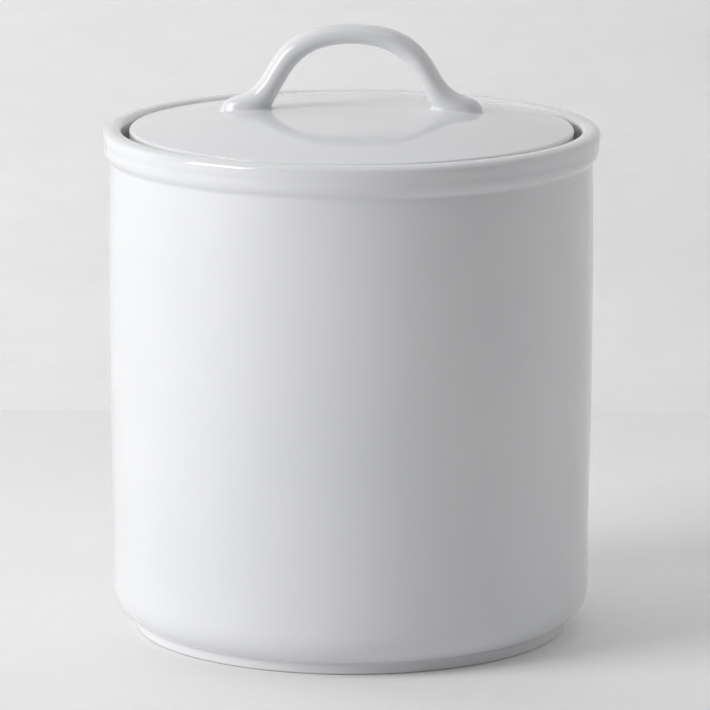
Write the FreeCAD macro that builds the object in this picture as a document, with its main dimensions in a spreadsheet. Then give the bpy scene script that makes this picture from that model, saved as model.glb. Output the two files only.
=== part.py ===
"""Porcelain jar for keeping garlic, with a loose domed lid that has a loop handle.

Three pieces of glazed porcelain, in millimetres, +Z up. The origin is on the surface that
the jar stands on, at the jar's axis, and the handle's loop runs along X.

jar         one casting: foot ring, rounded base, wall, rolled rim and the ledge for the lid
lid         one casting: domed disc with a rest face and a locating ring underneath
lid_handle  loop handle with flared feet, cast apart and joined to the dome with slip
"""
import FreeCAD, Part
import os
from math import atan2, sqrt

import Sketcher
from FreeCAD import Vector

# Sketcher's numbers for the points of a curve, and for the two axes. The origin is the
# horizontal axis's own start.
START, END, CENTRE = range(1, 4)
HORIZONTAL_AXIS, VERTICAL_AXIS = range(-1, -3, -1)
ORIGIN = HORIZONTAL_AXIS

NEAR = 1e-4     # two points closer than this are the same point

# ---- Driving dimensions --------------------------------------------------------------------

SIZES = [
    # Jar, outside
    ("rim_height", 157.4, "floor to the crest of the rim"),
    ("rim_radius", 76.9, "outer radius of the rolled rim"),
    ("rim_width", 6.0, "width of the rim, across its roll"),
    ("edge_reach", 2.05, "crest of the rim out to where its roll tightens"),
    ("edge_drop", 0.55, "crest of the rim down to where its roll tightens"),
    ("side_drop", 2.2, "crest of the rim down to where it is widest"),
    ("roll_drop", 4.8, "crest of the rim down to where the roll meets the band"),
    ("band_inset", 0.4, "how far the band is inside the roll"),
    ("band_drop", 6.2, "crest of the rim down to where the band turns in"),
    ("crease_drop", 9.8, "crest of the rim down to the crease under the band"),
    ("wall_inset", 2.25, "how far the wall is inside the roll, at the crease"),
    ("wall_draft", 0.3, "how much narrower the wall is where the base turns in"),
    ("wall_belly", 0.45, "how far the wall swells outwards between those two"),
    ("base_turn_height", 13.7, "floor to where the base turns in"),
    ("foot_inset", 7.15, "how far the foot ring is inside the wall"),
    ("foot_height", 3.4, "floor to where the base meets the foot ring"),
    ("foot_width", 5.0, "width of the foot ring"),
    ("foot_recess", 3.0, "depth of the recess inside the foot ring"),
    # Jar, inside
    ("wall", 3.9, "thickness of the wall"),
    ("floor_thickness", 5.0, "thickness of the floor"),
    ("gallery_depth", 7.0, "crest of the rim down to the ledge"),
    ("ledge_width", 8.1, "how far the ledge stands into the jar"),
    ("ledge_thickness", 4.5, "thickness of the ledge at its lip"),
    ("ledge_brace", 7.0, "height over which the ledge thickens into the wall"),
    # Lid
    ("lid_gap", 2.6, "clearance between the lid and the recess that holds it"),
    ("lid_edge", 5.55, "thickness of the lid at its edge"),
    ("dome_rise", 12.6, "rest face up to the middle of the dome"),
    ("crown_radius", 30.0, "radius of the nearly flat middle of the dome"),
    ("crown_drop", 0.4, "how far the dome falls over that middle"),
    ("lid_thickness", 4.2, "thickness of the lid at its middle"),
    ("hollow_rise", 4.1, "height of the hollow under the dome, inside the ring"),
    ("ring_clearance", 1.5, "clearance between the locating ring and the ledge"),
    ("ring_wall", 4.0, "thickness of the locating ring"),
    ("ring_depth", 5.5, "how far the locating ring hangs below the rest face"),
    # Handle, with heights measured up from the middle of the dome
    ("loop_rise", 26.15, "top of the loop"),
    ("gap_rise", 20.0, "top of the finger gap"),
    ("arch_radius", 30.0, "radius of the top of the finger gap"),
    ("shoulder_reach", 20.6, "half width of the loop's crown"),
    ("shoulder_drop", 4.65, "fall of the loop's crown to its shoulder"),
    ("knee_reach", 30.4, "axis to the corner where the leg meets the foot"),
    ("knee_rise", 5.0, "height of that corner"),
    ("tip_reach", 39.0, "axis to the upper corner of the foot's end"),
    ("tip_rise", 2.3, "height of that corner"),
    ("toe_reach", 42.4, "axis to the foot's end at the bottom of the blank"),
    ("heel_reach", 24.45, "axis to the inner side of the foot"),
    ("blank_sink", 5.0, "how far the blank reaches below the middle of the dome"),
    ("leg_thickness", 6.5, "thickness of the leg, seen from the front"),
    ("handle_depth", 9.0, "depth of the handle, front to back"),
    # Radii of the rounded corners
    ("floor_round", 9.0, "jar: between the wall and the floor, inside"),
    ("brace_round", 6.0, "jar: between the wall and the underside of the ledge"),
    ("ledge_round", 1.0, "jar: lip of the ledge"),
    ("band_round", 6.0, "jar: between the roll and the band"),
    ("crease_round", 2.0, "jar: crease under the band"),
    ("foot_round", 0.8, "jar: edges of the foot ring"),
    ("lid_top_round", 1.6, "lid: upper edge"),
    ("lid_rest_round", 0.8, "lid: both edges of the rest face"),
    ("ring_round", 1.5, "lid: edges of the locating ring"),
    ("shoulder_outer_round", 17.4, "handle: shoulder, outside"),
    ("shoulder_inner_round", 15.4, "handle: shoulder, inside"),
    ("knee_round", 11.5, "handle: between the leg and the foot"),
    ("tip_round", 3.2, "handle: upper corner of the foot's end"),
    ("heel_round", 4.0, "handle: between the leg and the inner side of the foot"),
    ("handle_round", 2.9, "handle: all along both sides"),
]

doc = FreeCAD.newDocument("lidded_jar")
sheet = doc.addObject("Spreadsheet::Sheet", "sizes")
for row, (name, millimetres, meaning) in enumerate(SIZES, start=1):
    sheet.set(f"A{row}", meaning)
    sheet.set(f"B{row}", str(millimetres))
    sheet.setAlias(f"B{row}", name)
doc.recompute()


class Size:
    """A length worked out from the sheet: its number, and the expression that binds to it."""

    def __init__(self, number, text):
        self.number = number
        self.text = text

    def __add__(self, other):
        return Size(self.number + other.number, f"({self.text} + {other.text})")

    def __sub__(self, other):
        return Size(self.number - other.number, f"({self.text} - {other.text})")

    def __mul__(self, factor):
        return Size(self.number * factor, f"({self.text} * {factor})")

    def __truediv__(self, factor):
        return Size(self.number / factor, f"({self.text} / {factor})")

    def __neg__(self):
        return Size(-self.number, f"(-1 * {self.text})")


ZERO = Size(0.0, "0")


def cell(name):
    """The size in one cell of the sheet."""
    return Size(float(sheet.get(name)), f"{sheet.Name}.{name}")


def arc_radius(half_width, rise):
    """Radius of the arc that rises this much over this half width."""
    number = (half_width.number ** 2 + rise.number ** 2) / (2 * rise.number)
    return Size(number, f"({half_width.text}^2 + {rise.text}^2) / (2 * {rise.text})")


# Where the lid seats in the jar: what the pieces share
rim_height = cell("rim_height")
rim_radius = cell("rim_radius")
gallery_radius = rim_radius - cell("rim_width")
rest_height = rim_height - cell("gallery_depth")
ledge_radius = gallery_radius - cell("ledge_width")
lid_radius = gallery_radius - cell("lid_gap")
dome_height = rest_height + cell("dome_rise")

# ---- Drawing -------------------------------------------------------------------------------


def new_body(name):
    body = doc.addObject("PartDesign::Body", name)
    body.Label = name
    return body


def new_sketch(body, name):
    """An empty sketch on the body's own XZ plane: across is X, up is Z."""
    sketch = body.newObject("Sketcher::SketchObject", name)
    plane = next(part for part in body.Origin.OriginFeatures if part.Role == "XZ_Plane")
    sketch.AttachmentSupport = [(plane, "")]
    sketch.MapMode = "FlatFace"
    return sketch


def relate(sketch, kind, *references):
    sketch.addConstraint(Sketcher.Constraint(kind, *references))


def bind(sketch, kind, *references, size):
    """Add a dimension to the sketch and bind it to a size."""
    index = sketch.addConstraint(Sketcher.Constraint(kind, *references, size.number))
    sketch.setExpression(f"Constraints[{index}]", size.text)


def place(sketch, curve, end, across, up):
    """Fix a point of a curve by its distances from the origin."""
    if across is ZERO:
        relate(sketch, "PointOnObject", curve, end, VERTICAL_AXIS)
    else:
        bind(sketch, "DistanceX", ORIGIN, START, curve, end, size=across)
    if up is ZERO:
        relate(sketch, "PointOnObject", curve, end, HORIZONTAL_AXIS)
    else:
        bind(sketch, "DistanceY", ORIGIN, START, curve, end, size=up)


def smooth_centre(start, end, heading):
    """Centre of the arc from start to end that sets off along heading."""
    left = Vector(-heading.y, heading.x, 0)
    chord = end - start
    return start + left * (chord.dot(chord) / (2 * chord.dot(left)))


def bulge_centre(start, end, radius):
    """Centre of the arc from start to end that bends to the right, with this radius."""
    chord = end - start
    right = Vector(chord.y, -chord.x, 0).normalize()
    return (start + end) / 2 + right * sqrt(radius ** 2 - chord.dot(chord) / 4)


def circle_arc(centre, first, last):
    """The arc about centre that runs counterclockwise from first to last."""
    angles = [atan2(point.y - centre.y, point.x - centre.x) for point in (first, last)]
    return Part.ArcOfCircle(Part.Circle(centre, Vector(0, 0, 1), (first - centre).Length), *angles)


def closed_outline(body, name, *corners):
    """Sketch a closed outline, walked clockwise, and return the sketch.

    A corner is (across, up, side), where side leads to the next corner: "line", "smooth"
    for an arc that sets off without a kink, or the radius of an arc that bulges outwards.
    """
    sketch = new_sketch(body, name)
    points = [Vector(across.number, up.number, 0) for across, up, side in corners]
    heading = None
    before = None       # the side before this one, and its last point
    first = None        # the first side, and its first point
    for start, end, (across, up, side) in zip(points, points[1:] + points[:1], corners):
        if side == "line":
            curve = sketch.addGeometry(Part.LineSegment(start, end))
            enter, leave = START, END
            heading = (end - start).normalize()
        else:
            if side == "smooth":
                centre = smooth_centre(start, end, heading)
            else:
                centre = bulge_centre(start, end, side.number)
            spoke = (end - centre).normalize()
            turns_left = (end - start).cross(centre - start).z > 0
            if turns_left:
                curve = sketch.addGeometry(circle_arc(centre, start, end))
                enter, leave = START, END
                heading = Vector(-spoke.y, spoke.x, 0)
            else:
                curve = sketch.addGeometry(circle_arc(centre, end, start))
                enter, leave = END, START
                heading = Vector(spoke.y, -spoke.x, 0)
        if before:
            relate(sketch, "Tangent" if side == "smooth" else "Coincident", *before, curve, enter)
        else:
            first = curve, enter
        place(sketch, curve, enter, across, up)
        if isinstance(side, Size):
            bind(sketch, "Radius", curve, size=side)
        before = curve, leave
    relate(sketch, "Coincident", *before, *first)
    return sketch


def turn(body, kind, name, sketch):
    """Turn a sketch about Z. The kind is Revolution, which adds, or Groove, which cuts."""
    volume_before = body.Shape.Volume if body.Tip else 0
    feature = body.newObject(f"PartDesign::{kind}", name)
    feature.Profile = sketch
    feature.ReferenceAxis = (sketch, ["V_Axis"])
    feature.Angle = 360
    doc.recompute()
    if kind == "Groove" and not 0 < body.Shape.Volume < volume_before:
        raise ValueError(f"{name} cuts nothing")


def fillet(body, name, is_wanted):
    """Round the wanted edges of the body as it stands. The radius is the size of that name."""
    base = body.Tip
    edges = [f"Edge{number}" for number, edge in enumerate(base.Shape.Edges, start=1)
             if not edge.Degenerated and is_wanted(edge)]
    if not edges:
        raise ValueError(f"{name}: no edge to round")
    feature = body.newObject("PartDesign::Fillet", name)
    feature.Base = (base, edges)
    feature.setExpression("Radius", cell(name).text)
    doc.recompute()


def rings(*corners):
    """Wants the circular edges that turned corners, given as (across, up), leave."""
    points = [Vector(across.number, up.number, 0) for across, up in corners]

    def is_wanted(edge):
        if not isinstance(edge.Curve, Part.Circle):
            return False
        ring = Vector(edge.Curve.Radius, edge.Curve.Center.z, 0)
        return any((ring - point).Length < NEAR for point in points)

    return is_wanted


# ---- Jar -----------------------------------------------------------------------------------


def make_jar():
    """One section turned about the axis, as the jar's mould was, with its corners rounded."""
    body = new_body("jar")
    rim_middle = rim_height - cell("rim_width") / 2
    crest_radius = gallery_radius + cell("rim_width") / 2
    band_radius = rim_radius - cell("band_inset")
    band_top = band_radius, rim_height - cell("roll_drop")
    wall_radius = rim_radius - cell("wall_inset")
    crease_height = rim_height - cell("crease_drop")
    crease = wall_radius, crease_height
    base_radius = wall_radius - cell("wall_draft")
    belly_arc = arc_radius((crease_height - cell("base_turn_height")) / 2, cell("wall_belly"))
    foot_radius = base_radius - cell("foot_inset")
    foot_top = foot_radius, cell("foot_height")
    foot_inner_radius = foot_radius - cell("foot_width")
    recess_corner = foot_inner_radius, cell("foot_recess")
    floor_height = cell("foot_recess") + cell("floor_thickness")
    floor_corner = base_radius - cell("wall"), floor_height
    lip_height = rest_height - cell("ledge_thickness")
    brace_root = wall_radius - cell("wall"), lip_height - cell("ledge_brace")
    section = closed_outline(
        body, "jar_section",
        (gallery_radius, rest_height, "line"),
        (gallery_radius, rim_middle, "smooth"),
        (crest_radius, rim_height, "smooth"),
        (crest_radius + cell("edge_reach"), rim_height - cell("edge_drop"), "smooth"),
        (rim_radius, rim_height - cell("side_drop"), "smooth"),
        (*band_top, "line"),
        (band_radius, rim_height - cell("band_drop"), "smooth"),
        (*crease, belly_arc),
        (base_radius, cell("base_turn_height"), "smooth"),
        (*foot_top, "line"),
        (foot_radius, ZERO, "line"),
        (foot_inner_radius, ZERO, "line"),
        (*recess_corner, "line"),
        (ZERO, cell("foot_recess"), "line"),
        (ZERO, floor_height, "line"),
        (*floor_corner, "line"),
        (*brace_root, "line"),
        (ledge_radius, lip_height, "line"),
        (ledge_radius, rest_height, "line"),
    )
    turn(body, "Revolution", "jar_turned", section)
    fillet(body, "floor_round", rings(floor_corner))
    fillet(body, "brace_round", rings(brace_root))
    fillet(body, "ledge_round", rings((ledge_radius, lip_height), (ledge_radius, rest_height)))
    fillet(body, "band_round", rings(band_top))
    fillet(body, "crease_round", rings(crease))
    fillet(body, "foot_round", rings(foot_top, (foot_radius, ZERO), (foot_inner_radius, ZERO),
                                     recess_corner))
    return body


# ---- Lid -----------------------------------------------------------------------------------


def dome_corners():
    """Upper surface of the lid: a nearly flat crown that runs on into a rounder shoulder."""
    return (
        (ZERO, dome_height, arc_radius(cell("crown_radius"), cell("crown_drop"))),
        (cell("crown_radius"), dome_height - cell("crown_drop"), "smooth"),
        (lid_radius, rest_height + cell("lid_edge"), "line"),
        (lid_radius, rest_height, "line"),
    )


def make_lid():
    """The lid rests on the jar's ledge by the flat face outside its locating ring."""
    body = new_body("lid")
    ring_outer = ledge_radius - cell("ring_clearance")
    ring_inner = ring_outer - cell("ring_wall")
    ring_bottom = rest_height - cell("ring_depth")
    hollow_top = dome_height - cell("lid_thickness")
    hollow_edge = hollow_top - cell("hollow_rise")
    section = closed_outline(
        body, "lid_section",
        *dome_corners(),
        (ring_outer, rest_height, "line"),
        (ring_outer, ring_bottom, "line"),
        (ring_inner, ring_bottom, "line"),
        (ring_inner, hollow_edge, "line"),
        (ZERO, hollow_edge, "line"),
    )
    turn(body, "Revolution", "lid_turned", section)
    hollow = closed_outline(
        body, "hollow_section",
        (ZERO, hollow_top, arc_radius(ring_inner, cell("hollow_rise"))),
        (ring_inner, hollow_edge, "line"),
        (ZERO, hollow_edge, "line"),
    )
    turn(body, "Groove", "hollow_turned", hollow)
    fillet(body, "lid_top_round", rings((lid_radius, rest_height + cell("lid_edge"))))
    fillet(body, "lid_rest_round", rings((lid_radius, rest_height), (ring_outer, rest_height)))
    fillet(body, "ring_round", rings((ring_outer, ring_bottom), (ring_inner, ring_bottom),
                                     (ring_inner, hollow_edge)))
    return body


# ---- Handle --------------------------------------------------------------------------------


def draw_loop(body):
    """Sketch the front outline of the handle: an arch on two leaning legs with flared feet.

    The inner side of each leg runs parallel to the outer side, one leg thickness inside it.
    Returns the sketch and its corners on the +X side, by name.
    """
    sketch = new_sketch(body, "loop_outline")
    loop_top = dome_height + cell("loop_rise")
    gap_top = dome_height + cell("gap_rise")
    arch_radius = cell("arch_radius")
    bottom = dome_height - cell("blank_sink")
    placed = {
        "shoulder": (cell("shoulder_reach"), loop_top - cell("shoulder_drop")),
        "knee": (cell("knee_reach"), dome_height + cell("knee_rise")),
        "tip": (cell("tip_reach"), dome_height + cell("tip_rise")),
        "toe": (cell("toe_reach"), bottom),
        "heel": (cell("heel_reach"), bottom),
    }
    # These two start near their places, and the constraints bring them there
    settled = {
        "instep": (cell("heel_reach"), dome_height),
        "armpit": (cell("shoulder_reach") - cell("leg_thickness") / 2, gap_top),
    }
    outline = {**placed, **settled}
    crown_radius = arc_radius(cell("shoulder_reach"), cell("shoulder_drop"))

    def corner_point(name, side):
        across, up = outline[name]
        return Vector(side * across.number, up.number, 0)

    def arch(name, top, radius):
        centre = Vector(0, (top - radius).number, 0)
        return sketch.addGeometry(circle_arc(centre, corner_point(name, 1), corner_point(name, -1)))

    crown = arch("shoulder", loop_top, crown_radius)
    gap = arch("armpit", gap_top, arch_radius)
    bind(sketch, "Radius", crown, size=crown_radius)
    bind(sketch, "Radius", gap, size=arch_radius)
    place(sketch, gap, CENTRE, ZERO, gap_top - arch_radius)
    for side, arch_end in ((1, START), (-1, END)):
        names = list(outline)
        sides = [sketch.addGeometry(Part.LineSegment(corner_point(here, side),
                                                     corner_point(there, side)))
                 for here, there in zip(names, names[1:])]
        outer_leg, inner_leg = sides[0], sides[-1]
        relate(sketch, "Coincident", crown, arch_end, outer_leg, START)
        relate(sketch, "Coincident", inner_leg, END, gap, arch_end)
        for here, there in zip(sides, sides[1:]):
            relate(sketch, "Coincident", here, END, there, START)
        for curve, (across, up) in zip(sides, placed.values()):
            place(sketch, curve, START, across if side > 0 else -across, up)
        relate(sketch, "Vertical", sides[-2])
        relate(sketch, "Parallel", outer_leg, inner_leg)
        bind(sketch, "Distance", inner_leg, END, outer_leg, size=cell("leg_thickness"))
        if side > 0:
            ends = [(curve, START) for curve in sides] + [(inner_leg, END)]
    doc.recompute()
    return sketch, {name: sketch.getPoint(*end) for name, end in zip(names, ends)}


def crosswise(corner):
    """Wants the edges along Y at a corner of the loop's outline, on both legs."""
    def is_wanted(edge):
        first, last = edge.Vertexes[0].Point, edge.Vertexes[-1].Point
        along_y = abs(first.x - last.x) < NEAR and abs(first.z - last.z) < NEAR
        return along_y and (Vector(abs(first.x), first.z, 0) - corner).Length < NEAR

    return is_wanted


def lengthwise(half_depth, bottom):
    """Wants the edges of the front and back faces, apart from those along the bottom."""
    def is_wanted(edge):
        first, last = edge.Vertexes[0].Point, edge.Vertexes[-1].Point
        on_one_face = abs(first.y - last.y) < NEAR and abs(abs(first.y) - half_depth) < NEAR
        return on_one_face and max(first.z, last.z) > bottom + NEAR

    return is_wanted


def make_handle():
    """A slab of the loop's outline, rounded all along and cut to the dome that it stands on."""
    body = new_body("lid_handle")
    outline, corners = draw_loop(body)
    slab = body.newObject("PartDesign::Pad", "loop_slab")
    slab.Profile = outline
    slab.SideType = "Symmetric"
    slab.setExpression("Length", cell("handle_depth").text)
    doc.recompute()
    fillet(body, "shoulder_outer_round", crosswise(corners["shoulder"]))
    fillet(body, "shoulder_inner_round", crosswise(corners["armpit"]))
    fillet(body, "knee_round", crosswise(corners["knee"]))
    fillet(body, "heel_round", crosswise(corners["instep"]))
    fillet(body, "tip_round", crosswise(corners["tip"]))
    fillet(body, "handle_round", lengthwise(cell("handle_depth").number / 2, corners["heel"].y))
    dome = closed_outline(body, "dome_section", *dome_corners(), (ZERO, rest_height, "line"))
    turn(body, "Groove", "seat_on_dome", dome)
    return body


# ---- Checks and export ---------------------------------------------------------------------

pieces = [make_jar(), make_lid(), make_handle()]
doc.recompute()

for thing in doc.Objects:
    if "Invalid" in thing.State or "Error" in thing.State:
        raise ValueError(f"{thing.Name} failed: {thing.State}")
    if thing.TypeId == "Sketcher::SketchObject" and not thing.FullyConstrained:
        raise ValueError(f"{thing.Name} isn't fully constrained")
for piece in pieces:
    shape = piece.Shape
    if shape.isNull() or not shape.isValid() or len(shape.Solids) != 1:
        raise ValueError(f"{piece.Label} isn't one valid solid")

os.makedirs("parts", exist_ok=True)
for piece in pieces:
    piece.Shape.exportStep(f"parts/{piece.Label}.step")
    box = piece.Shape.optimalBoundingBox()
    print(f"{piece.Label}: {piece.Shape.Volume / 1000:.1f} cm3, "
          f"x {box.XMin:.2f} to {box.XMax:.2f}, z {box.ZMin:.2f} to {box.ZMax:.2f}")
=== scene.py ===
"""A glossy white porcelain jar for garlic, with a loose domed lid and a loop handle.

The pieces come in the order in which the jar is put together: the jar, the lid and the
handle on the lid. The floor, the lights and the camera come last.
"""

from math import atan2, cos, pi, radians, sin, tan

import bmesh
import bpy
from mathutils import Matrix, Vector


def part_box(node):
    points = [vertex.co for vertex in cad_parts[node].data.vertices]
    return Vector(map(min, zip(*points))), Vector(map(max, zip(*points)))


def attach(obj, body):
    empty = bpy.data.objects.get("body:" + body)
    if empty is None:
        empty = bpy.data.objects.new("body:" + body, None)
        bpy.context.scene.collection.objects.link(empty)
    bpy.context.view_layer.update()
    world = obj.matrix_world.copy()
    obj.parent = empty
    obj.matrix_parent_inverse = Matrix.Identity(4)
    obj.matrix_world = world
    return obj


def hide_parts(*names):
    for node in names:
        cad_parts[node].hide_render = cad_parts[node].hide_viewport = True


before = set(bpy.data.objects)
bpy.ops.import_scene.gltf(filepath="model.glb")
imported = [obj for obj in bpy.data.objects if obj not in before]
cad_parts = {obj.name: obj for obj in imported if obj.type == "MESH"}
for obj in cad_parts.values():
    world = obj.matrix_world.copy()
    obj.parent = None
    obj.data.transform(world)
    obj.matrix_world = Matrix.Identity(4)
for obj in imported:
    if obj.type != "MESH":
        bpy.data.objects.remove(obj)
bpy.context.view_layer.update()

# ---- Jar -----------------------------------------------------------------------------------
# One porcelain casting: a straight wall on a foot ring, with a rolled rim and a ledge inside
# it for the lid. It is cast in a plaster mould, trimmed on the wheel and glazed all over,
# apart from the ledge and the foot ring that it stands on in the kiln.

MM = 0.001                      # every length is in metres

jar_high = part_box("jar")[1]
RIM_RADIUS = jar_high.x
RIM_HEIGHT = jar_high.z
RIM_WIDTH = 6.0 * MM            # from the side of the gallery, the recess that holds the lid
INNER_REACH = 1.43 * MM         # side of the gallery out to where the top of the rim flattens
INNER_RISE = 1.78 * MM
CREST_RISE = 0.17 * MM          # how far the flat top still rises from there
EDGE_REACH = 2.05 * MM          # crest of the rim out to where its roll tightens
EDGE_DROP = 0.55 * MM
SIDE_DROP = 2.2 * MM            # crest of the rim down to where it is widest
ROLL_INSET = 0.24 * MM          # where the side of the roll turns back to the band
ROLL_DROP = 4.2 * MM
BAND_INSET = 0.4 * MM
BAND_TOP_DROP = 5.6 * MM
BAND_DROP = 6.2 * MM            # crest of the rim down to where the band turns in
LIP_INSET = 1.67 * MM           # where the underside of the band turns down to the wall
LIP_DROP = 9.3 * MM
WALL_INSET = 2.25 * MM
WALL_DROP = 10.7 * MM           # crest of the rim down to the top of the wall
WALL_BELLY = 0.55 * MM          # how far the wall swells out above its waist
WAIST_INSET = 2.55 * MM
WAIST_HEIGHT = 36.0 * MM
BASE_INSET = 2.5 * MM
BASE_TURN_HEIGHT = 13.7 * MM
FOOT_INSET = 9.7 * MM           # the foot ring: its outer side, its height and its width
FOOT_HEIGHT = 3.4 * MM
FOOT_WIDTH = 5.0 * MM
FOOT_RECESS = 3.0 * MM          # how far the underside inside the ring stands clear
JAR_WALL = 3.9 * MM
JAR_FLOOR = 5.0 * MM
GALLERY_DEPTH = 7.0 * MM        # crest of the rim down to the ledge
LEDGE_WIDTH = 8.1 * MM
LEDGE_THICKNESS = 4.5 * MM
LEDGE_BRACE = 7.0 * MM          # height over which the wall thickens to carry the ledge
FLOOR_CORNER = 9.0 * MM         # radii that round the corners off
BRACE_CORNER = 6.0 * MM
LEDGE_CORNER = 1.0 * MM
GALLERY_CORNER = 0.6 * MM
FOOT_CORNER = 0.8 * MM
BRACE_TURN = 49                 # degrees by which the inside turns in under the ledge
FOOT_TURN = 70                  # degrees between the base and the foot's side
BARE_FOOT = 0.25 * MM           # how far up the foot has no glaze
BARE_LEDGE = 3.5 * MM           # how far above and below its top the ledge has none
ZONE_SLACK = 0.1 * MM           # how far a bare zone reaches past the faces that it holds
MERGE_DISTANCE = 0.005 * MM     # corners of faces nearer than this become one
SIDES = 256                     # facets round a turned piece


class Pen:
    """Draws a half section as a wire in the XZ plane, and turns it about Z.

    The pen stands at the wire's last vertex, the only one selected, and knows its heading.
    """

    def __init__(self, name, across, up):
        bpy.ops.object.select_all(action="DESELECT")
        bpy.ops.mesh.primitive_plane_add(size=MM)
        self.piece = bpy.context.object
        self.piece.name = self.piece.data.name = name
        bpy.ops.object.mode_set(mode="EDIT")
        bpy.ops.mesh.select_mode(type="VERT")
        bpy.ops.mesh.select_all(action="SELECT")
        bpy.ops.mesh.merge(type="CENTER")
        bpy.ops.transform.translate(value=(across, 0, up))
        self.at = Vector((across, 0, up))
        self.heading = None

    def line(self, across, up):
        """Goes straight on to the point."""
        end = Vector((across, 0, up))
        step = end - self.at
        bpy.ops.mesh.extrude_region_move(TRANSFORM_OT_translate={"value": step})
        self.at, self.heading = end, step.normalized()

    def arc(self, centre, across, up, pieces):
        """Goes on to the point along the circle about centre, the short way."""
        end = Vector((across, 0, up))
        first, last = self.at - centre, end - centre
        angle = atan2(last.z, last.x) - atan2(first.z, first.x)
        angle = (angle + pi) % (2 * pi) - pi
        bpy.ops.mesh.spin(steps=pieces, angle=angle, center=centre, axis=(0, 1, 0))
        spoke = last.normalized()
        side = 1 if angle > 0 else -1
        self.at, self.heading = end, Vector((-spoke.z * side, 0, spoke.x * side))

    def smooth(self, across, up, pieces):
        """Goes on to the point along an arc that sets off without a kink."""
        chord = Vector((across, 0, up)) - self.at
        left = Vector((-self.heading.z, 0, self.heading.x))
        self.arc(self.at + left * chord.length_squared / (2 * chord.dot(left)), across, up, pieces)

    def swell(self, across, up, rise, pieces):
        """Goes on to the point along an arc that stands out by this much halfway."""
        chord = Vector((across, 0, up)) - self.at
        inwards = Vector((chord.z, 0, -chord.x)).normalized()
        radius = (chord.length_squared / 4 + rise ** 2) / (2 * rise)
        self.arc(self.at + chord / 2 + inwards * (radius - rise), across, up, pieces)

    def soften(self, radius, *corners, pieces=6):
        """Rounds the corners at these points, given as (across, up, degrees of the turn)."""
        for across, up, turn in corners:
            bpy.ops.mesh.select_all(action="DESELECT")
            wire = bmesh.from_edit_mesh(self.piece.data)
            nearest = min(wire.verts, key=lambda v: (v.co - Vector((across, 0, up))).length)
            nearest.select = True
            wire.select_flush_mode()
            bmesh.update_edit_mesh(self.piece.data)
            bpy.ops.mesh.bevel(affect="VERTICES", offset=radius * tan(radians(turn / 2)),
                               segments=pieces, clamp_overlap=False)

    def turned(self):
        """Turns the section about Z, closes it at the axis and returns the piece."""
        bpy.ops.mesh.select_all(action="SELECT")
        bpy.ops.mesh.spin(steps=SIDES, angle=2 * pi, center=(0, 0, 0), axis=(0, 0, 1))
        bpy.ops.mesh.select_all(action="SELECT")
        bpy.ops.mesh.remove_doubles(threshold=MERGE_DISTANCE)
        bpy.ops.mesh.normals_make_consistent(inside=False)
        bpy.ops.object.mode_set(mode="OBJECT")
        bpy.ops.object.transform_apply(location=True, rotation=True, scale=True)
        bpy.ops.object.shade_smooth()
        weighted = self.piece.modifiers.new("even_shading", "WEIGHTED_NORMAL")
        weighted.weight = 100   # the larger faces decide
        bpy.ops.object.modifier_apply(modifier=weighted.name)
        return self.piece


gallery_radius = RIM_RADIUS - RIM_WIDTH
rest_height = RIM_HEIGHT - GALLERY_DEPTH
ledge_radius = gallery_radius - LEDGE_WIDTH
lip_height = rest_height - LEDGE_THICKNESS
crest_radius = RIM_RADIUS - RIM_WIDTH / 2
band_radius = RIM_RADIUS - BAND_INSET
wall_radius = RIM_RADIUS - WALL_INSET
base_radius = RIM_RADIUS - BASE_INSET
foot_radius = RIM_RADIUS - FOOT_INSET
foot_inner_radius = foot_radius - FOOT_WIDTH
floor_height = FOOT_RECESS + JAR_FLOOR
brace_height = lip_height - LEDGE_BRACE

pen = Pen("jar_body", 0, floor_height)
pen.line(base_radius - JAR_WALL, floor_height)
pen.line(wall_radius - JAR_WALL, brace_height)
pen.line(ledge_radius, lip_height)
pen.line(ledge_radius, rest_height)
pen.line(gallery_radius, rest_height)
pen.line(gallery_radius, RIM_HEIGHT - CREST_RISE - INNER_RISE)
pen.smooth(gallery_radius + INNER_REACH, RIM_HEIGHT - CREST_RISE, pieces=10)
pen.smooth(crest_radius, RIM_HEIGHT, pieces=6)
pen.smooth(crest_radius + EDGE_REACH, RIM_HEIGHT - EDGE_DROP, pieces=8)
pen.smooth(RIM_RADIUS, RIM_HEIGHT - SIDE_DROP, pieces=12)
pen.smooth(RIM_RADIUS - ROLL_INSET, RIM_HEIGHT - ROLL_DROP, pieces=5)
pen.smooth(band_radius, RIM_HEIGHT - BAND_TOP_DROP, pieces=5)
pen.line(band_radius, RIM_HEIGHT - BAND_DROP)
pen.smooth(RIM_RADIUS - LIP_INSET, RIM_HEIGHT - LIP_DROP, pieces=12)
pen.smooth(wall_radius, RIM_HEIGHT - WALL_DROP, pieces=8)
pen.swell(RIM_RADIUS - WAIST_INSET, WAIST_HEIGHT, WALL_BELLY, pieces=16)
pen.smooth(base_radius, BASE_TURN_HEIGHT, pieces=8)
pen.smooth(foot_radius, FOOT_HEIGHT, pieces=16)
pen.line(foot_radius, 0)
pen.line(foot_inner_radius, 0)
pen.line(foot_inner_radius, FOOT_RECESS)
pen.line(0, FOOT_RECESS)
pen.soften(FLOOR_CORNER, (base_radius - JAR_WALL, floor_height, 90), pieces=10)
pen.soften(BRACE_CORNER, (wall_radius - JAR_WALL, brace_height, BRACE_TURN))
pen.soften(LEDGE_CORNER, (ledge_radius, lip_height, BRACE_TURN), (ledge_radius, rest_height, 90))
pen.soften(GALLERY_CORNER, (gallery_radius, rest_height, 90))
pen.soften(FOOT_CORNER, (foot_radius, FOOT_HEIGHT, FOOT_TURN), (foot_radius, 0, 90),
           (foot_inner_radius, 0, 90), (foot_inner_radius, FOOT_RECESS, 90))
jar = pen.turned()


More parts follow.
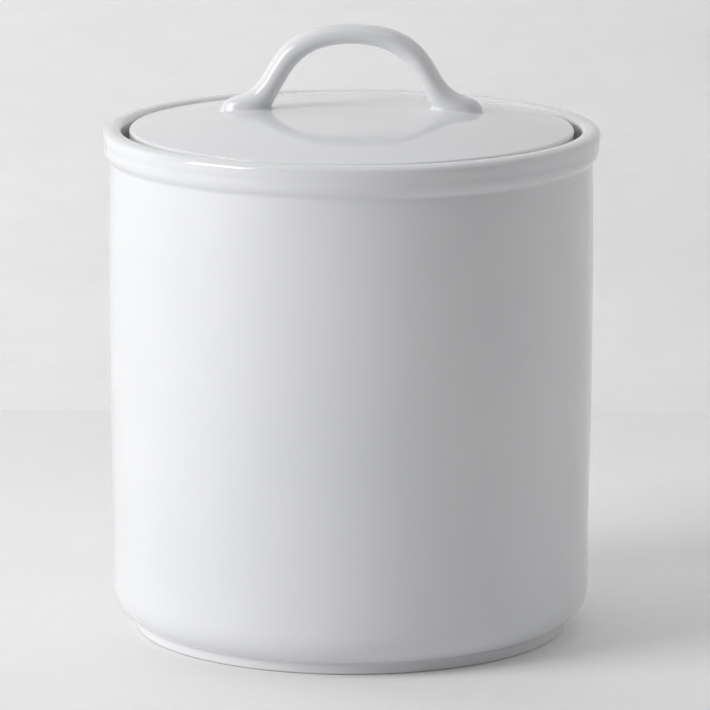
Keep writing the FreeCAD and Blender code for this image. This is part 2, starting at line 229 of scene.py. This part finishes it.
class Value:
    """A number that a shader works out. Python's operators on it add Math nodes."""

    def __init__(self, shader, socket):
        self.shader = shader
        self.socket = socket

    def maths(self, operation, *values):
        node = self.shader.add("Math", {"operation": operation}, *values)
        return Value(self.shader, node.outputs[0])

    def __add__(self, other):
        return self.maths("ADD", self, other)

    def __radd__(self, other):
        return self.maths("ADD", other, self)

    def __sub__(self, other):
        return self.maths("SUBTRACT", self, other)

    def __rsub__(self, other):
        return self.maths("SUBTRACT", other, self)

    def __mul__(self, other):
        return self.maths("MULTIPLY", self, other)

    def __rmul__(self, other):
        return self.maths("MULTIPLY", other, self)

    def __gt__(self, other):
        return self.maths("GREATER_THAN", self, other)

    def __lt__(self, other):
        return self.maths("LESS_THAN", self, other)

    def root(self):
        return self.maths("SQRT", self)

    def smooth_step(self, low, high):
        """0 below low, 1 above high and a soft ramp between them."""
        settings = {"interpolation_type": "SMOOTHSTEP"}
        node = self.shader.add("MapRange", settings, self, low, high)
        return Value(self.shader, node.outputs[0])


class Shader:
    """The node tree of one material or of the world."""

    def __init__(self, owner):
        owner.use_nodes = True
        self.tree = owner.node_tree
        self.tree.nodes.clear()

    def add(self, kind, settings, *values, **named):
        """Adds a node. Values go to the inputs in use in order, and named ones by their names."""
        node = self.tree.nodes.new(f"ShaderNode{kind}")
        for name, setting in settings.items():
            setattr(node, name, setting)
        in_use = [socket for socket in node.inputs if socket.enabled]
        pairs = list(zip(in_use, values))
        for name, value in named.items():
            pairs.append((node.inputs[name.replace("_", " ")], value))
        for socket, value in pairs:
            if isinstance(value, Value):
                value = value.socket
            if isinstance(value, bpy.types.NodeSocket):
                self.tree.links.new(value, socket)
            else:
                socket.default_value = value
        return node

    def mix(self, share, first, second):
        """The colour that lies this share of the way from the first to the second."""
        return self.add("Mix", {"data_type": "RGBA"}, share, first, second).outputs[2]

    def place(self):
        """Where the point lies, in metres: the vector, its height and its distance from Z."""
        vector = self.add("TexCoord", {}).outputs["Object"]
        parts = self.add("SeparateXYZ", {}, vector).outputs
        across, deep, height = (Value(self, part) for part in parts)
        return vector, height, (across * across + deep * deep).root()

    def noise(self, vector, size, detail=2.0):
        """Soft noise from 0 to 1 whose lumps are about this size, in metres."""
        node = self.add("TexNoise", {}, Vector=vector, Scale=1 / size, Detail=detail)
        return Value(self, node.outputs[0])


GLAZE_WHITE = (0.826, 0.832, 0.848, 1)
GLAZE_THICK = (0.798, 0.806, 0.822, 1)      # where the glaze has run a little thicker
GLAZE_IOR = 1.5
GLAZE_ROUGHNESS = 0.02
DRIFT_ROUGHNESS = 0.03                      # added where the glaze is thick
PIT_ROUGHNESS = 0.3                         # added in a pit
BISQUE = (0.56, 0.54, 0.51, 1)              # bare fired porcelain, dulled by use
BISQUE_ROUGHNESS = 0.7                      # added where it is bare
GRAIN_ROUGHNESS = 0.1
DRIFT_SIZE = 45 * MM                        # patches of thinner and thicker glaze
WAVE_SIZE = 26 * MM                         # slow swell of the surface
WAVE_HEIGHT = 0.03 * MM
PEEL_SIZE = 2.2 * MM                        # fine unevenness, as of orange peel
PEEL_HEIGHT = 0.0006 * MM
GRAIN_SIZE = 0.5 * MM                       # grain of the bare porcelain
PIT_CELL = 24 * MM                          # one cell in five or so has a pit in the glaze
PIT_SHARE = 0.2
PIT_RADIUS = 0.28 * MM
PIT_DEPTH = 0.05 * MM


def make_porcelain(name, bare_zones=()):
    """White porcelain under a clear gloss glaze.

    It is bare in the zones, each given as the lowest and highest height and a radius to stay in.
    """
    material = bpy.data.materials.new(name)
    shader = Shader(material)
    vector, height, radius = shader.place()
    bare = 0
    for low, high, reach in bare_zones:
        bare = bare + (height > low) * (height < high) * (radius < reach)
    drift = shader.noise(vector, DRIFT_SIZE)
    colour = shader.mix(drift.smooth_step(0.35, 0.75), GLAZE_WHITE, GLAZE_THICK)
    cells = shader.add("TexVoronoi", {}, Vector=vector, Scale=1 / PIT_CELL).outputs
    chance = shader.add("SeparateColor", {}, cells["Color"]).outputs[0]
    distance = Value(shader, cells["Distance"]) * PIT_CELL
    pit = (1 - distance.smooth_step(0.0, PIT_RADIUS)) * (Value(shader, chance) > 1 - PIT_SHARE)
    waves = shader.noise(vector, WAVE_SIZE, detail=1.0) * WAVE_HEIGHT
    peel = shader.noise(vector, PEEL_SIZE, detail=1.0) * PEEL_HEIGHT
    relief = shader.add("Bump", {}, Height=waves + peel - pit * PIT_DEPTH, Distance=1.0)
    roughness = GLAZE_ROUGHNESS + drift * DRIFT_ROUGHNESS + pit * PIT_ROUGHNESS
    if bare_zones:
        grain = shader.noise(vector, GRAIN_SIZE)
        colour = shader.mix(bare, colour, BISQUE)
        roughness = roughness + bare * (BISQUE_ROUGHNESS + grain * GRAIN_ROUGHNESS)
    surface = shader.add("BsdfPrincipled", {}, Base_Color=colour, Roughness=roughness,
                         IOR=GLAZE_IOR, Normal=relief.outputs[0])
    shader.add("OutputMaterial", {}, surface.outputs[0])
    return material


jar.data.materials.append(make_porcelain("jar_glaze", [
    (-ZONE_SLACK, BARE_FOOT, RIM_RADIUS),
    (rest_height - BARE_LEDGE, rest_height + BARE_LEDGE, gallery_radius + ZONE_SLACK)]))
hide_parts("jar")
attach(jar, "jar")

# ---- Lid -----------------------------------------------------------------------------------
# One porcelain casting: a shallow dome with a rounded edge. It lies loose on the jar's ledge
# by the flat face outside its locating ring, which keeps it from sliding.

lid_low, lid_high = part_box("lid")
LID_OVERHANG = 0.35 * MM        # how far the lid reaches past its solid
LID_RADIUS = lid_high.x + LID_OVERHANG
DOME_HEIGHT = lid_high.z
RING_BOTTOM = lid_low.z
CROWN_RADIUS = 28.0 * MM        # the dome's nearly flat middle
CROWN_DROP = 0.35 * MM
SLOPE_RADIUS = 48.0 * MM        # where the dome has bent down to its slope
SLOPE_DROP = 2.3 * MM
EDGE_INSET = 0.9 * MM           # where the slope rolls over to the lid's edge
ROLLOVER_DROP = 5.85 * MM
SIDE_TOP_DROP = 6.95 * MM
LID_THICKNESS = 4.2 * MM
HOLLOW_RISE = 4.1 * MM
RING_CLEARANCE = 1.5 * MM
RING_WALL = 4.0 * MM
LID_CORNER = 2.2 * MM           # radii that round the corners off
RING_ROOT_CORNER = 0.8 * MM
RING_CORNER = 1.5 * MM
HOLLOW_TURN = 82                # degrees between the ring's inner side and the hollow
BARE_REST = 1.5 * MM            # how far up from its rest face the lid has no glaze


def arc_radius(half_width, rise):
    """Radius of the arc that rises this much over this half width."""
    return (half_width ** 2 + rise ** 2) / (2 * rise)


ring_outer = ledge_radius - RING_CLEARANCE
ring_inner = ring_outer - RING_WALL
hollow_top = DOME_HEIGHT - LID_THICKNESS
hollow_edge = hollow_top - HOLLOW_RISE
crown_arc = arc_radius(CROWN_RADIUS, CROWN_DROP)
hollow_arc = arc_radius(ring_inner, HOLLOW_RISE)

pen = Pen("lid_dome", 0, DOME_HEIGHT)
pen.arc(Vector((0, 0, DOME_HEIGHT - crown_arc)), CROWN_RADIUS, DOME_HEIGHT - CROWN_DROP, pieces=12)
pen.smooth(SLOPE_RADIUS, DOME_HEIGHT - SLOPE_DROP, pieces=12)
pen.smooth(LID_RADIUS - EDGE_INSET, DOME_HEIGHT - ROLLOVER_DROP, pieces=12)
pen.smooth(LID_RADIUS, DOME_HEIGHT - SIDE_TOP_DROP, pieces=12)
pen.line(LID_RADIUS, rest_height)
pen.line(ring_outer, rest_height)
pen.line(ring_outer, RING_BOTTOM)
pen.line(ring_inner, RING_BOTTOM)
pen.line(ring_inner, hollow_edge)
pen.arc(Vector((0, 0, hollow_top - hollow_arc)), 0, hollow_top, pieces=12)
pen.soften(LID_CORNER, (LID_RADIUS, rest_height, 90), pieces=8)
pen.soften(RING_ROOT_CORNER, (ring_outer, rest_height, 90))
pen.soften(RING_CORNER, (ring_outer, RING_BOTTOM, 90), (ring_inner, RING_BOTTOM, 90),
           (ring_inner, hollow_edge, HOLLOW_TURN))
lid = pen.turned()
lid.data.materials.append(make_porcelain("lid_glaze", [
    (rest_height - ZONE_SLACK, rest_height + BARE_REST, LID_RADIUS + ZONE_SLACK)]))
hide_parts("lid")
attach(lid, "lid")

# ---- Handle --------------------------------------------------------------------------------
# A loop of oval section, cast by itself and joined to the dome with slip before glazing.
# Each leg widens into a foot that flares outwards, and glaze fills the corner round it.

SECTION_POINTS = 20             # points round the oval
# From the middle of the loop down one leg: the outer and the inner side of each section, as
# (across, up) from the middle of the dome, and half its depth, all in millimetres
SECTIONS = [
    ((0.0, 26.32), (0.0, 20.1), 4.6),
    ((6.6, 25.98), (5.2, 19.72), 4.6),
    ((12.85, 24.76), (10.2, 18.5), 4.6),
    ((18.4, 22.1), (14.3, 16.2), 4.6),
    ((22.9, 18.0), (17.5, 13.1), 4.6),
    ((26.1, 12.95), (19.85, 9.35), 4.6),
    ((28.4, 8.45), (21.95, 5.65), 4.6),
    ((31.85, 5.05), (23.4, 2.9), 4.6),
    ((36.2, 3.6), (24.3, 1.4), 4.6),
    ((39.3, 2.3), (24.55, 0.8), 4.65),
    ((40.35, 0.3), (24.5, 0.4), 4.7),
    ((40.5, -0.75), (24.3, 0.0), 5.0),
    ((40.95, -1.2), (23.6, -0.25), 5.6),
]
FOOT_ROOT = 0.8 * MM            # how far the foot goes on into the lid


def section(outer, inner, half_depth):
    """Middle, half width, slope and half depth of a section between two points of the XZ plane."""
    outer, inner = (Vector((across, 0, up)) * MM + Vector((0, 0, DOME_HEIGHT))
                    for across, up in (outer, inner))
    width = outer - inner
    return (outer + inner) / 2, width.length / 2, atan2(width.z, width.x), half_depth * MM


bpy.ops.object.select_all(action="DESELECT")
bpy.ops.mesh.primitive_circle_add(vertices=SECTION_POINTS, radius=1)
handle = bpy.context.object
handle.name = handle.data.name = "loop_handle"
bpy.ops.object.mode_set(mode="EDIT")
bpy.ops.mesh.select_all(action="SELECT")
middle, half_width, slope, half_depth = section(*SECTIONS[0])
bpy.ops.transform.resize(value=(half_width, half_depth, 1), center_override=(0, 0, 0))
bpy.ops.transform.translate(value=middle)
bpy.ops.transform.rotate(value=slope, orient_axis="Y", center_override=middle)
for before, after in zip(SECTIONS, SECTIONS[1:]):
    middle_before, half_width_before, slope_before, half_depth_before = section(*before)
    middle, half_width, slope, half_depth = section(*after)
    bpy.ops.mesh.extrude_region_move(TRANSFORM_OT_translate={"value": middle - middle_before})
    bpy.ops.transform.rotate(value=-slope_before, orient_axis="Y", center_override=middle)
    stretch = (half_width / half_width_before, half_depth / half_depth_before, 1)
    bpy.ops.transform.resize(value=stretch, center_override=middle)
    bpy.ops.transform.rotate(value=slope, orient_axis="Y", center_override=middle)
# The foot's lower edge makes a group, and the root that goes on from it is closed
bpy.ops.object.vertex_group_assign_new()
bpy.ops.mesh.extrude_region_move(TRANSFORM_OT_translate={"value": (0, 0, -FOOT_ROOT)})
bpy.ops.object.vertex_group_remove_from()
bpy.ops.mesh.edge_face_add()
bpy.ops.object.mode_set(mode="OBJECT")
bpy.ops.object.transform_apply(location=True, rotation=True, scale=True)
# That edge is set on the dome, straight up or down
seat = handle.modifiers.new("seat", "SHRINKWRAP")
seat.target = lid
seat.vertex_group = handle.vertex_groups[0].name
seat.wrap_method = "PROJECT"
seat.use_project_z = True
seat.use_positive_direction = seat.use_negative_direction = True
bpy.ops.object.modifier_apply(modifier=seat.name)
mirror = handle.modifiers.new("other_leg", "MIRROR")
mirror.merge_threshold = MERGE_DISTANCE
bpy.ops.object.modifier_apply(modifier=mirror.name)
smooth = handle.modifiers.new("smooth", "SUBSURF")
smooth.levels = smooth.render_levels = 2
bpy.ops.object.modifier_apply(modifier=smooth.name)
bpy.ops.object.shade_smooth()
bpy.ops.object.mode_set(mode="EDIT")
bpy.ops.mesh.select_all(action="SELECT")
bpy.ops.mesh.normals_make_consistent(inside=False)
bpy.ops.object.mode_set(mode="OBJECT")
handle.data.materials.append(make_porcelain("handle_glaze"))
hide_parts("lid_handle")
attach(handle, "lid")

# ---- Floor, wall behind and light ----------------------------------------------------------
# A pale stone top with a pale board behind it. One large soft light stands on the left, and
# those above, in front and on the right are weaker, which is what shades the jar's right side.

FLOOR_SIZE = 8.0
FLOOR_DROP = 0.02 * MM          # how far the stone lies under the foot ring
BOARD_LEFT, BOARD_RIGHT = -2.0, 0.62    # ends of the board
BOARD_DISTANCE = 0.315          # from the jar's axis back to the board
BOARD_HEIGHT = 1.2
STONE_WHITE = 0.9
CLOUD_SIZE = 40 * MM            # mottling of the stone and the board
SPECK_SIZE = 5 * MM

bpy.ops.object.select_all(action="DESELECT")
bpy.ops.mesh.primitive_plane_add(size=FLOOR_SIZE, location=(0, 0, -FLOOR_DROP))
floor = bpy.context.object
floor.name = "floor"


def make_backdrop(name, roughness, grain, lift):
    """Matt pale stone, clear from behind.

    The lift is a glow that the camera and reflections see and that lights nothing.
    """
    material = bpy.data.materials.new(name)
    shader = Shader(material)
    vector = shader.place()[0]
    cloud = shader.noise(vector, CLOUD_SIZE, detail=3.0).smooth_step(0.3, 0.7)
    speck = shader.noise(vector, SPECK_SIZE, detail=3.0).smooth_step(0.3, 0.7)
    shade = STONE_WHITE - grain * (0.6 * cloud + 0.4 * speck)
    light_path = shader.add("LightPath", {}).outputs
    seen = Value(shader, light_path["Is Camera Ray"]) + Value(shader, light_path["Is Glossy Ray"])
    surface = shader.add("BsdfPrincipled", {}, Base_Color=shade, Roughness=roughness)
    glow = shader.add("Emission", {}, (lift, lift, lift, 1))
    nothing = shader.add("Emission", {}, (0, 0, 0, 1))
    lifted = shader.add("MixShader", {}, seen, nothing.outputs[0], glow.outputs[0])
    both = shader.add("AddShader", {}, surface.outputs[0], lifted.outputs[0])
    behind = shader.add("NewGeometry", {}).outputs["Backfacing"]
    clear = shader.add("BsdfTransparent", {})
    one_sided = shader.add("MixShader", {}, behind, both.outputs[0], clear.outputs[0])
    shader.add("OutputMaterial", {}, one_sided.outputs[0])
    return material


floor.data.materials.append(make_backdrop("pale_stone", roughness=0.6, grain=0.03, lift=0.055))

bpy.ops.mesh.primitive_plane_add(size=1, rotation=(pi / 2, 0, 0))
board = bpy.context.object
board.name = "board"
board_middle = (BOARD_RIGHT + BOARD_LEFT) / 2
bpy.ops.transform.resize(value=(BOARD_RIGHT - BOARD_LEFT, 1, BOARD_HEIGHT))
bpy.ops.transform.translate(value=(board_middle, BOARD_DISTANCE, BOARD_HEIGHT / 2))
board.data.materials.append(make_backdrop("pale_plaster", roughness=0.8, grain=0.06, lift=0.11))

# Past the stone and the board the camera sees a grey room, which gives no light
ROOM_GREY = (0.76, 0.76, 0.76, 1)
world = bpy.data.worlds.new("room")
bpy.context.scene.world = world
shader = Shader(world)
seen = shader.add("LightPath", {}).outputs["Is Camera Ray"]
background = shader.add("Background", {}, shader.mix(seen, (0, 0, 0, 1), ROOM_GREY))
shader.add("OutputWorld", {}, background.outputs[0])

LIGHT_AIM = 0.08                # height that the lights are turned to


def make_softbox(name, azimuth, elevation, distance, width, height, power):
    """A soft light that faces the jar, at angles in degrees: right from the front, and up."""
    azimuth, elevation = radians(azimuth), radians(elevation)
    towards = Vector((cos(elevation) * sin(azimuth),
                      -cos(elevation) * cos(azimuth),
                      sin(elevation)))
    place = Vector((0, 0, LIGHT_AIM)) + distance * towards
    bpy.ops.object.light_add(type="AREA", location=place)
    lamp = bpy.context.object
    lamp.name = lamp.data.name = name
    lamp.data.shape = "RECTANGLE"
    lamp.data.size, lamp.data.size_y = width, height
    lamp.data.energy = power
    lamp.rotation_euler = (-towards).to_track_quat("-Z", "Y").to_euler()


make_softbox("softbox", azimuth=-64, elevation=25, distance=1.8, width=1.0, height=1.1, power=23.6)
make_softbox("ceiling", azimuth=0, elevation=85, distance=1.8, width=1.6, height=1.6, power=7.0)
make_softbox("room", azimuth=0, elevation=15, distance=2.2, width=2.5, height=1.6, power=1.9)
make_softbox("fill", azimuth=100, elevation=25, distance=1.5, width=1.8, height=1.8, power=8.4)

# ---- Camera --------------------------------------------------------------------------------
# A long lens, a little above the rim and looking down at the jar, which stands almost in the
# middle of a square picture.

CAMERA_DISTANCE = 1.750         # on the ground, from the jar's axis
CAMERA_HEIGHT = 0.4391
CAMERA_PITCH = 0.1995           # radians below level
CAMERA_ROLL = 0.0023
CAMERA_SIDESTEP = 1.20 * MM     # to the right, so the jar stands a little left of the middle
FOCAL_PIXELS = 5738             # focal length in pixels of the square picture
PICTURE_PIXELS = 710
SENSOR_WIDTH = 36               # millimetres
HANDLE_TURN = radians(1.0)      # the handle's right foot is turned this much to the camera

bpy.ops.object.camera_add()
camera = bpy.context.object
camera.data.sensor_width = SENSOR_WIDTH
camera.data.lens = SENSOR_WIDTH * FOCAL_PIXELS / PICTURE_PIXELS
camera.matrix_world = (Matrix.Rotation(HANDLE_TURN, 4, "Z")
                       @ Matrix.Translation((CAMERA_SIDESTEP, -CAMERA_DISTANCE, CAMERA_HEIGHT))
                       @ Matrix.Rotation(pi / 2 - CAMERA_PITCH, 4, "X")
                       @ Matrix.Rotation(CAMERA_ROLL, 4, "Z"))
bpy.context.scene.camera = camera

bpy.context.scene.view_settings.view_transform = "Standard"
